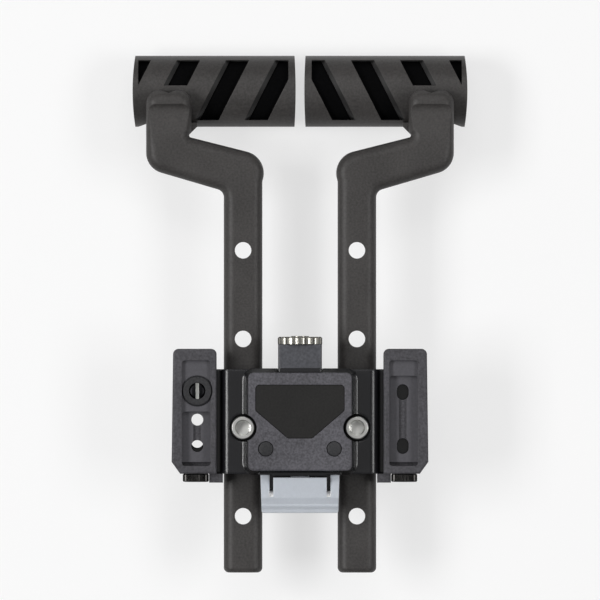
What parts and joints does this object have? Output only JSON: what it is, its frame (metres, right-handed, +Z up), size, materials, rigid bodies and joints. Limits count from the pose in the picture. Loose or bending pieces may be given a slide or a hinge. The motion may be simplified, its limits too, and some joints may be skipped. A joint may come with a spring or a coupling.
{
  "type": "bicycle handlebar bag mount",
  "caption": "Handlebar bag mount: slotted half shells on Z-bent arms, a locking bracket with a sprung catch lever across the rails, and recessed cable wings.",
  "frame": {"origin": "on the handlebar's axis, midway between the two half shells", "axes": "+X along the handlebar to the right as seen from the front, +Z up in use, -Y is the front, where the bag hangs"},
  "size_m": [0.1806, 0.057, 0.279],
  "materials": {
    "arm_plastic": "satin black glass-filled plastic",
    "liner_rubber": "matt black rubber",
    "body_gloss": "smooth black plastic with a soft gloss",
    "cover_plastic": "fine-grained dark grey plastic",
    "inlay_plastic": "flat black plastic",
    "plug_plastic": "satin black plastic",
    "wing_plastic": "fine-grained dark grey plastic",
    "lever_plastic": "smooth light grey plastic",
    "screw_steel": "turned zinc-plated steel",
    "lock_metal": "satin nickel-plated metal",
    "spring_steel": "bare spring steel"
  },
  "bodies": {
    "mount": {"left_arm": "arm_plastic", "right_arm": "arm_plastic", "left_liner": "liner_rubber", "right_liner": "liner_rubber", "holder_body": "body_gloss", "front_cover": "cover_plastic", "cover_inlay": "inlay_plastic", "cover_plugs": "plug_plastic", "cover_screws": "screw_steel", "left_rail_screw": "screw_steel", "right_rail_screw": "screw_steel", "back_plate": "arm_plastic", "rail_nuts": "screw_steel", "lock_barrel": "lock_metal", "lever_pin": "screw_steel", "lever_spring": "spring_steel", "left_wing": "wing_plastic", "right_wing": "wing_plastic", "wing_screws": "screw_steel", "left_tension_screw": "screw_steel", "right_tension_screw": "screw_steel", "cable_plug": "plug_plastic", "cable_screw": "screw_steel"},
    "lever": {"release_lever": "lever_plastic"},
    "lock": {"lock_plug": "lock_metal", "lock_cam": "screw_steel"}
  },
  "joints": [
    {"name": "lever_press", "type": "hinge", "parent": "mount", "child": "lever", "pos_m": [0, -0.041, -0.2], "axis": [1, 0, 0], "range_deg": [0, 12], "stiffness_Nm_per_rad": 0.25, "springref_deg": -20.05, "deforming": ["lever_spring"]},
    {"name": "lock_turn", "type": "hinge", "parent": "mount", "child": "lock", "pos_m": [0, -0.0449, -0.14], "axis": [0, 0, 1], "range_deg": [0, 90]}
  ]
}
